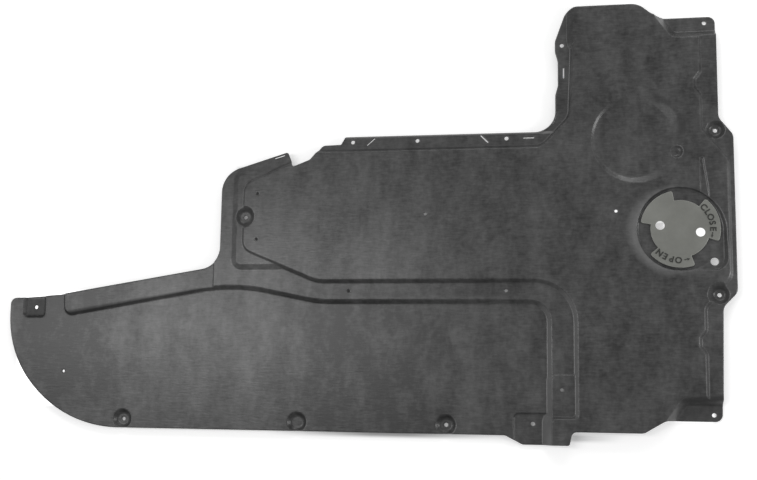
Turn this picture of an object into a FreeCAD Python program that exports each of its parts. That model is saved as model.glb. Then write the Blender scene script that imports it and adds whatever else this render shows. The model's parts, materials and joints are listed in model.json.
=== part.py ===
import FreeCAD, Part
import math
import os

# Underbody panel of a car, lying with its road side up, and its turning access cover.
# The panel is one moulded fibre board: flat fields on several levels, joined by sloping
# steps. Places in the plan are measured from the left tip and from the edge of the tongue,
# and the finished parts are moved so that the origin is the middle of the underside.

# Board
WALL = 3.0
FIELD_DRAFT = 42.0
POCKET_DRAFT = 35.0
EDGE_ROUND = 3.0
FIELD_CORNER_R = 10.0

# Heights of the fields above the plane of the fastening points
WING_RISE = 7.0
CHANNEL_RISE = 15.0
CHANNEL_PAD_RISE = 16.5
SIDE_RISE = 16.0
SHELF_RISE = 18.0
MAIN_RISE = 22.0

# Main stretches of the plan
WING_LENGTH = 431.0
BODY_LENGTH = 638.0
ARM_WIDTH = 290.0
BULGE = 25.0
TONGUE_DEPTH = 16.0
BODY_HEIGHT = 554.0
ARM_LENGTH = 236.0

# Nose of the wing
NOSE_LENGTH = 129.0
NOSE_RISE = 139.0
NOSE_ROUND = 245.0
TIP_ROUND = 208.0
TIP_RISE = 248.0
TIP_CORNER_R = 12.0
WING_BEND_X = 105.0
WING_BEND_RISE = 255.0
WING_BEND_R = 60.0
WING_ROOT_RISE = 309.5
WING_ROOT_R = 42.0

# Left shoulder of the body, with its tab and notch
SHOULDER_DROP = 66.0
SHOULDER_R = 48.0
TAB_ALONG = 130.0
TAB_DROP = 26.0
TAB_CORNER_R = 4.0
NOTCH_RUN = 12.0
NOTCH_DEPTH = 30.0
NOTCH_R = 3.0
RAMP_START = 33.0
RAMP_START_RISE = 13.0
RAMP_RUN = 24.0
RAMP_RISE = 28.0
LEDGE_RUN = 35.0
LEDGE_DROP = 14.0
LEDGE_LEAN = 8.0
RAMP_R = 12.0

# Left edge of the arm and its shoulders
ARM_INNER_R = 38.0
ARM_EASE = 5.0
ARM_EASE_START = 68.0
ARM_EASE_END = 152.0
ARM_EASE_RAMP = 19.0
ARM_LEAN_START = 172.0
ARM_LEAN = 23.0
ARM_SHOULDER_R = 28.0
ARM_TOP_INSET = 132.0
ARM_TOP_DROP = 24.0
ARM_TOP_R = 36.0

# Right edge
CORNER_R = 13.0
LOWER_CORNER_RISE = 30.0
LOWER_EDGE_RISE = 8.0
LOWER_SLOPE = 37.0
LOWER_CORNER_LENGTH = 103.0
BULGE_LOW = 230.0
BULGE_LOW_RAMP = 26.0
BULGE_HIGH = 540.0
BULGE_HIGH_RAMP = 32.0
BULGE_R = 19.0

# Tongue at the lower edge
TONGUE_WIDTH = 84.0
TONGUE_RIGHT = 21.0
TONGUE_SLOPE = 31.0
TONGUE_R = 10.0
TONGUE_POCKET_INSET = 16.0
TONGUE_POCKET_HEIGHT = 57.0
TONGUE_FLOOR = 3.0

# Channel between the wing field and the main field
WING_FIELD_HEIGHT = 244.0
CHANNEL_HEIGHT = 37.0
CHANNEL_WIDTH = 47.0
CHANNEL_END = 30.0
WING_FIELD_RIGHT = 10.0
WING_FIELD_BEND = 40.0
MAIN_FIELD_BEND = 78.0
CREST_X = 457.0
CREST_RISE = 34.6
CREST_R = 390.0
CREST_FOOT_X = 626.0
CREST_FOOT_R = 200.0
STRIP_END_X = 121.0
STRIP_END_DROP = 24.0
STRIP_END_LEAN = 3.0
STRIP_END_RISE = 55.0
STRIP_PAD_END = 10.0
STRIP_PAD_DEPTH = 2.5
CHANNEL_PAD_HEIGHT = 108.0

# Flanges round the main field
TOP_FLANGE = 30.0
LEFT_FLANGE = 34.0
SHELF_WIDTH = 14.0
SHELF_RUN = 11.0
SHELF_LOW = 31.0
SHELF_HIGH = 39.0
SHELF_COVER = 80.0
MAIN_SHOULDER_DROP = 58.0
MAIN_SHOULDER_RUN = 139.0
MAIN_FOOT_RISE = 61.0
MAIN_FOOT_RUN = 146.0
MAIN_CORNER_R = 24.0
ARM_FLANGE = 29.0
ARM_FLANGE_WIDER = 6.0
ARM_BEND_RISE = 57.0
ARM_BEND_RUN = 53.0
ARM_BEND_R = 34.0
ARM_FLANGE_HEIGHT = 172.0
ARM_RAMP_PER_RISE = 1.9
ARM_RAMP_WIDTH = 90.0
SIDE_FLANGE = 33.0
BULGE_FLANGE = 13.0
BULGE_STEP_LOW = 229.0
BULGE_STEP_HIGH = 550.0
BULGE_STEP_RUN = 56.0
DENT_DEPTH = 10.0
DENT_HALF = 21.5
DENT_FLAT_HALF = 9.0
DENT_LOW = 168.0
DENT_HIGH = 636.0
DENT_R = 8.0
CORNER_FLANGE = 43.0
CORNER_FLANGE_LENGTH = 110.0
CORNER_FLANGE_RUN = 30.0
CORNER_FLANGE_R = 22.0

# Fastening dishes and holes
DISH_FLAT_R = 12.0
DISH_RIM_R = 19.0
SMALL_DISH_FLAT_R = 9.5
SMALL_DISH_RIM_R = 17.0
DISH_BREAK = 1.5
SIDE_DISH_FLOOR = 7.0
SHELF_DISH_DEPTH = 12.0
SHELF_DISH_FLAT_R = 11.0
SHELF_DISH_RIM_R = 21.0
LOWER_DISH_X = 245.0
LOWER_DISH_STEPS = (0.0, 344.0, 623.0)
LOWER_DISH_RISE = 16.5
SIDE_DISH_INSET = 5.5
SIDE_DISH_LOW = 252.0
SIDE_DISH_HIGH = 550.0
SHELF_DISH_RISE = 403.0
RECESS_X = 51.0
RECESS_WIDTH = 48.0
RECESS_RISE = 210.0
FASTENER_D = 7.5
RECESS_HOLE_RISE = 231.0
CORNER_HOLE_INSET = 19.0
CORNER_HOLE_EDGE = 11.5
FLANGE_HOLE_EDGE = 10.0
FLANGE_HOLES = (15.0, 139.0, 306.0)
ARM_HOLE_EDGE = 13.0
ARM_HOLE_RISE = 164.0
TONGUE_HOLE_X = 44.0
TONGUE_HOLE_RISE = 37.0

# Small holes and slits
SMALL_D = 5.5
SLIT_WIDTH = 2.0
SLIT_LENGTH = 20.0
CROSS_ROW_RISE = 403.0
CHANNEL_ROW_RISE = 260.0
WING_HOLE_X = 119.0
WING_HOLE_Y = 122.0
PAIR_RUN = 26.0
PAIR_HALF = 44.0
CROSS_HOLE_RUN = 350.0
ARM_CROSS_RUN = 107.0
CHANNEL_HOLE_RUNS = (206.0, 499.0)
PAD_HOLE_RUN = 18.0
PAD_HOLE_RISE = 82.0
TAB_SLIT_BACK = 16.0
TAB_SLIT_DROP = 9.0
TAB_SLIT_ANGLE = 17.0
LEFT_SLIT_RUN = 244.0
LEFT_SLIT_ANGLE = 41.0
RIGHT_SLIT_RUN = 459.0
RIGHT_SLIT_ANGLE = -45.0
LEVEL_SLIT_RUN = 541.0
ARM_SLIT_EDGE = 15.5
ARM_SLIT_RISE = 111.0

# Lip turned up along the edge of the top flange and of the arm
LIP_WIDTH = 2.5
LIP_HEIGHT = 1.6
LIP_RISE = 80.0

# Crease pressed in between the round patch and the seat
CREASE_DEPTH = 2.5
CREASE_TOP_RUN = 31.5
CREASE_TOP_RISE = 499.0
CREASE_TOP_WIDTH = 6.0
CREASE_FOOT_RUN = 27.0
CREASE_FOOT_RISE = 433.0
CREASE_FOOT_WIDTH = 18.0
CREASE_R = 2.0

# Round patch pressed into the arm
PATCH_R = 82.0
PATCH_DEPTH = 4.0
PATCH_RUN = 12.0
PATCH_SHIFT = 7.5
PATCH_INSET = 168.5
PATCH_DROP = 254.0
DIMPLE_R = 14.0
DIMPLE_WALL_RUN = 6.0
DIMPLE_FLOOR_DROP = 0.8
DIMPLE_RUN = 66.5
DIMPLE_DROP = 25.0

# Seat of the access cover
SEAT_R = 75.0
SEAT_DEPTH = 7.0
SEAT_DRAFT = 12.0
FLARE_RUN = 16.0
FLARE_DEPTH = 2.0
BANK_RUN = 6.0
BANK_PER_RISE = 1.0
BANK_LEFT = 10.0
SEAT_INSET = 96.0
SEAT_RISE = 370.0
SEAT_EXTRA = 0.5
DRAIN_D = 14.0
DRAIN_CORNER_R = 17.0
DRAIN_RUN = 58.0
DRAIN_DROP = 59.0

# Access cover and its bayonet
TAB_GAP = 5.0
COVER_DISC_R = 52.0
COVER_THICKNESS = 3.0
COVER_EDGE_BREAK = 0.7
COVER_CORNER_R = 4.0
TAB_COUNT = 3
TAB_ANGLE = 70.0
TAB_FIRST = 15.5
LUG_ANGLE = 34.0
LUG_REACH = 8.0
LUG_THICKNESS = 2.5
SPIGOT_WALL = 3.0
SPIGOT_INSET = 4.0
NOTCH_ANGLE_ROOM = 4.0
TURN_GAP = 0.3
BORE_GAP = 0.5
FINGER_D = 16.0
FINGER_PITCH = 71.0
FINGER_TURN = -10.5

# Reach of the shaping forms past the panel, and the smallest corner they keep
OVERHANG = 60.0
BELOW = 6.0
ABOVE = 12.0
SMALLEST_CORNER = 0.5
FAR_R = 25.0

# Places worked out from the sizes above
TAN_FIELD = math.tan(math.radians(FIELD_DRAFT))
TAN_POCKET = math.tan(math.radians(POCKET_DRAFT))
TAN_SEAT = math.tan(math.radians(SEAT_DRAFT))
BOTTOM = TONGUE_DEPTH
BODY_LEFT = WING_LENGTH
ARM_LEFT = BODY_LEFT + BODY_LENGTH
SIDE_EDGE = ARM_LEFT + ARM_WIDTH
RIGHT = SIDE_EDGE + BULGE
BODY_TOP = BOTTOM + BODY_HEIGHT
TOP = BODY_TOP + ARM_LENGTH
RAMP_X = BODY_LEFT + TAB_ALONG + NOTCH_RUN + RAMP_START
LEDGE_X = RAMP_X + RAMP_RUN + LEDGE_RUN
SHELF_LEFT = BODY_LEFT + LEFT_FLANGE
MAIN_LEFT = SHELF_LEFT + SHELF_WIDTH
MAIN_TOP = BODY_TOP - TOP_FLANGE
WING_FIELD_TOP = BOTTOM + WING_FIELD_HEIGHT
MAIN_LOW = WING_FIELD_TOP + CHANNEL_HEIGHT
CHANNEL_LEFT = ARM_LEFT - WING_FIELD_RIGHT
CHANNEL_RIGHT = CHANNEL_LEFT + CHANNEL_WIDTH
MAIN_RIGHT = SIDE_EDGE - SIDE_FLANGE
SEAT_X = RIGHT - SEAT_INSET
SEAT_Y = BOTTOM + SEAT_RISE
LEDGE_TOP = MAIN_RISE + WALL - SEAT_DEPTH
LEDGE_BOTTOM = LEDGE_TOP - WALL
SPIGOT_R = COVER_DISC_R - SPIGOT_INSET
LUG_R = SPIGOT_R + LUG_REACH


def side_line(a, b, shift):
    """Point and direction of the side from a to b, moved shift to its right."""
    dx = b[0] - a[0]
    dy = b[1] - a[1]
    length = math.hypot(dx, dy)
    return a[0] + shift * dy / length, a[1] - shift * dx / length, dx / length, dy / length


def meet(first, second):
    """Point where two lines meet."""
    ax, ay, adx, ady = first
    bx, by, bdx, bdy = second
    along = ((bx - ax) * bdy - (by - ay) * bdx) / (adx * bdy - ady * bdx)
    return ax + along * adx, ay + along * ady


def corner_cuts(points, sides, radii):
    """How far each corner's arc reaches along its sides, shared where two arcs meet."""
    count = len(points)
    turns = []
    cuts = []
    for i in range(count):
        before = sides[i - 1]
        after = sides[i]
        cross = before[2] * after[3] - before[3] * after[2]
        turn = math.atan2(abs(cross), before[2] * after[2] + before[3] * after[3])
        turns.append(turn)
        cuts.append(max(radii[i], SMALLEST_CORNER) * math.tan(turn / 2))
    shares = []
    for i in range(count):
        following = (i + 1) % count
        length = math.dist(points[i], points[following])
        shares.append(min(1.0, 0.98 * length / (cuts[i] + cuts[following])))
    shared = [cuts[i] * min(shares[i - 1], shares[i]) for i in range(count)]
    return turns, shared


def outline(corners, z, grow=0.0):
    """Closed wire of lines and arcs at height z, with every side moved outwards by grow.

    The corners run anticlockwise as (x, y, radius), and an inner corner loses what an
    outer corner gains, so that the two wires of one wall match edge by edge.
    """
    count = len(corners)
    sides = [side_line(corners[i], corners[(i + 1) % count], grow) for i in range(count)]
    points = [meet(sides[i - 1], sides[i]) for i in range(count)]
    radii = []
    for i in range(count):
        outer = sides[i - 1][2] * sides[i][3] > sides[i - 1][3] * sides[i][2]
        radii.append(corners[i][2] + (grow if outer else -grow))
    turns, cuts = corner_cuts(points, sides, radii)
    starts = []
    middles = []
    ends = []
    for i, (x, y) in enumerate(points):
        before = sides[i - 1]
        after = sides[i]
        radius = cuts[i] / math.tan(turns[i] / 2)
        bulge = radius / math.cos(turns[i] / 2) - radius
        inward = (after[2] - before[2], after[3] - before[3])
        size = math.hypot(*inward)
        starts.append(FreeCAD.Vector(x - cuts[i] * before[2], y - cuts[i] * before[3], z))
        middles.append(FreeCAD.Vector(x + bulge * inward[0] / size, y + bulge * inward[1] / size, z))
        ends.append(FreeCAD.Vector(x + cuts[i] * after[2], y + cuts[i] * after[3], z))
    edges = []
    for i in range(count):
        edges.append(Part.Arc(starts[i], middles[i], ends[i]).toShape())
        edges.append(Part.makeLine(ends[i], starts[(i + 1) % count]))
    return Part.Wire(edges)


def tapered(corners, low, high, grow_low, grow_high):
    """Solid between the outline grown by grow_low at low and by grow_high at high."""
    wires = [outline(corners, low, grow_low), outline(corners, high, grow_high)]
    return Part.makeLoft(wires, True, True)


def wall_shift(run, rise):
    """How far a sloping wall's other face lies inwards, at the height of its own edge."""
    slope = math.hypot(run, rise)
    return WALL * (slope - run) / rise


def field(corners, rise, back, run_per_rise=TAN_FIELD):
    """Flat field with sloping sides: the front form, or the back form one wall below."""
    top = rise if back else rise + WALL
    grow = -wall_shift(run_per_rise, 1.0) if back else 0.0
    low = -BELOW
    solid = tapered(corners, low, top, grow + (top - low) * run_per_rise, grow)
    return solid if back else rounded_at(solid, top, EDGE_ROUND)


def sharp_pocket(corners, floor, rim, back, run_per_rise=TAN_POCKET):
    """Cutter of a pocket with a sharp floor, its outline given at the height of its rim."""
    low = floor if back else floor + WALL
    edge = rim if back else rim + WALL
    high = MAIN_RISE + ABOVE
    grow = wall_shift(run_per_rise, 1.0) if back else 0.0
    grow_low = grow - (edge - low) * run_per_rise
    grow_high = grow + (high - edge) * run_per_rise
    return tapered(corners, low, high, grow_low, grow_high)


def pocket(corners, floor, rim, back, run_per_rise=TAN_POCKET):
    """Cutter of a pocket whose floor runs up into its walls."""
    solid = sharp_pocket(corners, floor, rim, back, run_per_rise)
    return solid if back else rounded_at(solid, floor + WALL, EDGE_ROUND)


def level_edges(solid, z):
    """Edges of the solid that lie at height z."""
    found = []
    for edge in solid.Edges:
        box = edge.BoundBox
        if max(abs(box.ZMin - z), abs(box.ZMax - z)) < 1e-6:
            found.append(edge)
    return found


def rounded_at(solid, z, radius):
    """The solid with its level edges at height z rounded."""
    return solid.makeFillet(radius, level_edges(solid, z))


def chamfered_at(solid, z, size):
    """The solid with its level edges at height z broken by a narrow slope."""
    return solid.makeChamfer(size, level_edges(solid, z))


def cone_pocket(x, y, flat_r, rim_r, floor, rim, back, shift=(0.0, 0.0)):
    """Cutter of a round pocket with a sharp floor; shift moves its floor aside from its rim."""
    low = floor if back else floor + WALL
    depth = rim - floor
    run = rim_r - flat_r
    grow = wall_shift(run, depth) if back else 0.0
    reach = (MAIN_RISE + ABOVE - rim) / depth
    base = FreeCAD.Vector(x + shift[0], y + shift[1], low)
    crown = FreeCAD.Vector(x - reach * shift[0], y - reach * shift[1], low + (1.0 + reach) * depth)
    circles = []
    for centre, radius in ((base, flat_r + grow), (crown, rim_r + grow + reach * run)):
        circles.append(Part.Wire(Part.makeCircle(radius, centre)))
    return Part.makeLoft(circles, True, True)


def round_pocket(x, y, flat_r, rim_r, floor, rim, back, shift=(0.0, 0.0)):
    """Cutter of a round pocket whose floor runs up into its wall."""
    solid = cone_pocket(x, y, flat_r, rim_r, floor, rim, back, shift)
    return solid if back else chamfered_at(solid, floor + WALL, DISH_BREAK)


def panel_outline():
    """Trimmed edge of the panel, anticlockwise from the nose."""
    tab_x = BODY_LEFT + TAB_ALONG
    tab_y = BODY_TOP - TAB_DROP
    notch_x = tab_x + NOTCH_RUN
    notch_y = tab_y - NOTCH_DEPTH
    ramp_y = notch_y + RAMP_START_RISE
    tongue_x = ARM_LEFT + TONGUE_RIGHT
    lower_y = BOTTOM + LOWER_EDGE_RISE
    corner_y = BOTTOM + LOWER_CORNER_RISE
    corner_x = SIDE_EDGE - LOWER_CORNER_LENGTH
    return [
        (NOSE_LENGTH, BOTTOM, NOSE_ROUND),
        (tongue_x - TONGUE_WIDTH - TONGUE_SLOPE, BOTTOM, TONGUE_R),
        (tongue_x - TONGUE_WIDTH, 0.0, TONGUE_R),
        (tongue_x, 0.0, TONGUE_R / 2),
        (tongue_x + TONGUE_R / 2, lower_y, TONGUE_R),
        (corner_x - LOWER_SLOPE, lower_y, BULGE_R),
        (corner_x, corner_y, BULGE_R),
        (SIDE_EDGE - TONGUE_R / 2, corner_y, CORNER_R),
        (SIDE_EDGE, BOTTOM + BULGE_LOW, BULGE_R),
        (RIGHT, BOTTOM + BULGE_LOW + BULGE_LOW_RAMP, BULGE_R),
        (RIGHT, BOTTOM + BULGE_HIGH, BULGE_R),
        (SIDE_EDGE, BOTTOM + BULGE_HIGH + BULGE_HIGH_RAMP, BULGE_R),
        (SIDE_EDGE, TOP - ARM_TOP_DROP, CORNER_R),
        (SIDE_EDGE - CORNER_FLANGE_LENGTH, TOP - ARM_TOP_DROP, ARM_TOP_R),
        (RIGHT - ARM_TOP_INSET - TONGUE_SLOPE, TOP, ARM_TOP_R),
        (ARM_LEFT + ARM_LEAN, TOP, ARM_SHOULDER_R),
        (ARM_LEFT, BODY_TOP + ARM_LEAN_START, ARM_EASE_RAMP),
        (ARM_LEFT, BODY_TOP + ARM_EASE_END, ARM_EASE_RAMP),
        (ARM_LEFT + ARM_EASE, BODY_TOP + ARM_EASE_END - ARM_EASE_RAMP, ARM_EASE_RAMP),
        (ARM_LEFT + ARM_EASE, BODY_TOP + ARM_EASE_START + ARM_EASE_RAMP, ARM_EASE_RAMP),
        (ARM_LEFT, BODY_TOP + ARM_EASE_START, ARM_EASE_RAMP),
        (ARM_LEFT, BODY_TOP, ARM_INNER_R),
        (LEDGE_X + LEDGE_LEAN, BODY_TOP, NOTCH_R),
        (LEDGE_X, BODY_TOP - LEDGE_DROP, NOTCH_R),
        (RAMP_X + RAMP_RUN, ramp_y + RAMP_RISE, RAMP_R),
        (RAMP_X, ramp_y, RAMP_R),
        (notch_x, notch_y, NOTCH_R),
        (tab_x, tab_y, TAB_CORNER_R),
        (BODY_LEFT, BODY_TOP - SHOULDER_DROP, SHOULDER_R),
        (BODY_LEFT, BOTTOM + WING_ROOT_RISE, WING_ROOT_R),
        (WING_BEND_X, BOTTOM + WING_BEND_RISE, WING_BEND_R),
        (0.0, BOTTOM + TIP_RISE, TIP_CORNER_R),
        (0.0, BOTTOM + NOSE_RISE, TIP_ROUND),
    ]


def channel_field():
    """Everything above the wing field: the strip, the channel, the flanges and the fields."""
    low = -OVERHANG
    strip_y = WING_FIELD_TOP - STRIP_END_DROP
    return [
        (STRIP_END_X, strip_y, FIELD_CORNER_R),
        (CREST_X, WING_FIELD_TOP + CREST_RISE, CREST_R),
        (CREST_FOOT_X, WING_FIELD_TOP, CREST_FOOT_R),
        (CHANNEL_LEFT, WING_FIELD_TOP, WING_FIELD_BEND),
        (CHANNEL_LEFT, low, FIELD_CORNER_R),
        (RIGHT + OVERHANG, low, FAR_R),
        (RIGHT + OVERHANG, TOP + OVERHANG, FAR_R),
        (STRIP_END_X - STRIP_END_LEAN, TOP + OVERHANG, FIELD_CORNER_R),
        (STRIP_END_X - STRIP_END_LEAN, strip_y + STRIP_END_RISE, FIELD_CORNER_R),
    ]


def channel_pad_field():
    """Lower stretch of the channel's floor, a little higher than the rest."""
    high = BOTTOM + CHANNEL_PAD_HEIGHT
    return [
        (CHANNEL_LEFT, -OVERHANG, FIELD_CORNER_R),
        (CHANNEL_RIGHT + OVERHANG, -OVERHANG, FIELD_CORNER_R),
        (CHANNEL_RIGHT + OVERHANG, high, FIELD_CORNER_R),
        (CHANNEL_LEFT, high, FIELD_CORNER_R),
    ]


def side_field():
    """Flange down the right side, under the edge of the main field."""
    left = MAIN_RIGHT - OVERHANG
    return [
        (left, -OVERHANG, FIELD_CORNER_R),
        (RIGHT + OVERHANG, -OVERHANG, FAR_R),
        (RIGHT + OVERHANG, TOP + OVERHANG, FAR_R),
        (left, TOP + OVERHANG, FAR_R),
    ]


def shelf_field():
    """Shelf between the left flange and the main field."""
    low = MAIN_LOW + SHELF_LOW
    high = MAIN_TOP - SHELF_HIGH
    return [
        (SHELF_LEFT, low, FIELD_CORNER_R),
        (MAIN_LEFT + SHELF_COVER, low, FIELD_CORNER_R),
        (MAIN_LEFT + SHELF_COVER, high, FIELD_CORNER_R),
        (SHELF_LEFT, high, FIELD_CORNER_R),
    ]


def dent(rise):
    """Corners of a shallow dent in the main field's right side."""
    y = BOTTOM + rise
    return [
        (MAIN_RIGHT, y - DENT_HALF, DENT_R),
        (MAIN_RIGHT - DENT_DEPTH, y - DENT_FLAT_HALF, DENT_R),
        (MAIN_RIGHT - DENT_DEPTH, y + DENT_FLAT_HALF, DENT_R),
        (MAIN_RIGHT, y + DENT_HALF, DENT_R),
    ]


def main_field():
    """Highest field, from the channel's right side round by the arm and the left edge."""
    bulge_x = RIGHT - BULGE_FLANGE
    step_low = BOTTOM + BULGE_STEP_LOW
    step_high = BOTTOM + BULGE_STEP_HIGH
    arm_x = ARM_LEFT + ARM_FLANGE
    neck_y = BODY_TOP + ARM_FLANGE_HEIGHT - ARM_FLANGE
    end_y = BOTTOM + CHANNEL_END
    return [
        (CHANNEL_LEFT, -OVERHANG, FIELD_CORNER_R),
        (MAIN_RIGHT, -OVERHANG, FAR_R),
        *dent(DENT_LOW),
        (MAIN_RIGHT, step_low, BULGE_R),
        (bulge_x, step_low + BULGE_STEP_RUN, BULGE_R),
        (bulge_x, step_high - BULGE_STEP_RUN, BULGE_R),
        (MAIN_RIGHT, step_high, BULGE_R),
        *dent(DENT_HIGH),
        (MAIN_RIGHT, TOP + OVERHANG, FAR_R),
        (arm_x + ARM_RAMP_WIDTH, TOP + OVERHANG, FIELD_CORNER_R),
        (arm_x + ARM_RAMP_WIDTH, neck_y + ARM_FLANGE, FIELD_CORNER_R),
        (arm_x + ARM_FLANGE_WIDER, neck_y + ARM_FLANGE, DENT_R),
        (arm_x, MAIN_TOP + ARM_BEND_RISE, ARM_BEND_R),
        (arm_x - ARM_BEND_RUN, MAIN_TOP, ARM_BEND_R),
        (MAIN_LEFT + MAIN_SHOULDER_RUN, MAIN_TOP, DENT_R),
        (MAIN_LEFT, MAIN_TOP - MAIN_SHOULDER_DROP, MAIN_CORNER_R),
        (MAIN_LEFT, MAIN_LOW + MAIN_FOOT_RISE, MAIN_CORNER_R),
        (MAIN_LEFT + MAIN_FOOT_RUN, MAIN_LOW, OVERHANG),
        (CHANNEL_RIGHT, MAIN_LOW, MAIN_FIELD_BEND),
        (CHANNEL_RIGHT, end_y, DENT_R),
        (CHANNEL_LEFT, end_y, DENT_R),
    ]


def arm_ramp():
    """Upper left part of the arm, which slopes down gently to its fastening hole."""
    left = ARM_LEFT + ARM_FLANGE + ARM_FLANGE_WIDER
    low = BODY_TOP + ARM_FLANGE_HEIGHT - ARM_FLANGE
    return [
        (left, low, ARM_BEND_R),
        (left + ARM_RAMP_WIDTH, low, ARM_BEND_R),
        (left + ARM_RAMP_WIDTH, TOP + OVERHANG, FAR_R),
        (left, TOP + OVERHANG, FAR_R),
    ]


def strip_pad():
    """Left part of the strip, a little lower than the channel."""
    end = BODY_LEFT - STRIP_PAD_END
    return [
        (-OVERHANG, BOTTOM + RECESS_RISE / 2, FAR_R),
        (end, BOTTOM + RECESS_RISE / 2, FAR_R),
        (end, TOP, FAR_R),
        (-OVERHANG, TOP, FAR_R),
    ]


def tongue_pocket():
    """Low pad on the left half of the tongue."""
    left = ARM_LEFT + TONGUE_RIGHT - TONGUE_WIDTH - TONGUE_POCKET_INSET
    return [
        (left, -OVERHANG, FIELD_CORNER_R),
        (CHANNEL_RIGHT, -OVERHANG, FIELD_CORNER_R),
        (CHANNEL_RIGHT, TONGUE_POCKET_HEIGHT, FIELD_CORNER_R),
        (left, TONGUE_POCKET_HEIGHT, FIELD_CORNER_R),
    ]


def square_recess():
    """Recess round the wing's fastening hole, open at the upper edge."""
    left = RECESS_X - RECESS_WIDTH / 2
    right = RECESS_X + RECESS_WIDTH / 2
    low = BOTTOM + RECESS_RISE
    return [
        (left, low, FIELD_CORNER_R),
        (right, low, FIELD_CORNER_R),
        (right, TOP, FAR_R),
        (left, TOP, FAR_R),
    ]


def upper_corner():
    """Fastening flange of the upper right corner."""
    rim_y = TOP - ARM_TOP_DROP - CORNER_FLANGE
    left = SIDE_EDGE - CORNER_FLANGE_LENGTH
    return [
        (left + CORNER_FLANGE_RUN, rim_y, CORNER_FLANGE_R),
        (RIGHT + OVERHANG, rim_y, FAR_R),
        (RIGHT + OVERHANG, TOP + OVERHANG, FAR_R),
        (left - CORNER_FLANGE_RUN / 2, TOP + OVERHANG, FAR_R),
        (left, TOP - ARM_TOP_DROP, CORNER_FLANGE_R),
    ]


def lower_corner():
    """Fastening flange of the lower right corner."""
    rim_y = BOTTOM + LOWER_CORNER_RISE + CORNER_FLANGE
    left = SIDE_EDGE - LOWER_CORNER_LENGTH
    return [
        (left - CORNER_FLANGE_RUN / 2, -OVERHANG, FAR_R),
        (RIGHT + OVERHANG, -OVERHANG, FAR_R),
        (RIGHT + OVERHANG, rim_y, FAR_R),
        (left + CORNER_FLANGE_RUN, rim_y, CORNER_FLANGE_R),
        (left, BOTTOM + LOWER_CORNER_RISE, CORNER_FLANGE_R),
    ]


def seat_recess():
    """Round seat of the access cover, with a corner for the drain hole."""
    reach = SEAT_R + SEAT_EXTRA
    return [
        (SEAT_X - reach, SEAT_Y - reach, SEAT_R),
        (SEAT_X + reach, SEAT_Y - reach, DRAIN_CORNER_R),
        (SEAT_X + reach, SEAT_Y + reach, SEAT_R),
        (SEAT_X - reach, SEAT_Y + reach, SEAT_R),
    ]


def crease():
    """Crease between the patch and the seat, which widens towards the seat."""
    top_x = SIDE_EDGE - CREASE_TOP_RUN
    top_y = BOTTOM + CREASE_TOP_RISE
    foot_x = SIDE_EDGE - CREASE_FOOT_RUN
    foot_y = BOTTOM + CREASE_FOOT_RISE
    return [
        (top_x - CREASE_TOP_WIDTH / 2, top_y, CREASE_R),
        (foot_x - CREASE_FOOT_WIDTH / 2, foot_y, CREASE_R),
        (foot_x + CREASE_FOOT_WIDTH / 2, foot_y - CREASE_FOOT_WIDTH / 2, CREASE_R),
        (top_x + CREASE_TOP_WIDTH / 2, top_y, CREASE_R),
    ]


def seat_bank():
    """Right side of the seat, which slopes more than the rest of its wall."""
    reach = SEAT_R + SEAT_EXTRA
    right = SEAT_X + reach + BANK_RUN
    return [
        (SEAT_X - BANK_LEFT, SEAT_Y - reach, FIELD_CORNER_R),
        (right, SEAT_Y - reach, DRAIN_CORNER_R + BANK_RUN),
        (right, SEAT_Y + reach, SEAT_R + BANK_RUN),
        (SEAT_X - BANK_LEFT, SEAT_Y + reach, FIELD_CORNER_R),
    ]


def lower_dishes():
    """Centres of the dishes along the wing's lower edge."""
    return [(LOWER_DISH_X + step, BOTTOM + LOWER_DISH_RISE) for step in LOWER_DISH_STEPS]


def side_dishes():
    """Centres of the dishes in the right side flange."""
    x = SIDE_EDGE - SIDE_DISH_INSET
    return [(x, BOTTOM + SIDE_DISH_LOW), (x, BOTTOM + SIDE_DISH_HIGH)]


def shelf_dish():
    """Centre of the dish across the shelf and the main field."""
    return MAIN_LEFT, BOTTOM + SHELF_DISH_RISE


def patch_centre():
    """Centre of the round patch."""
    return RIGHT - PATCH_INSET, TOP - PATCH_DROP


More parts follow.
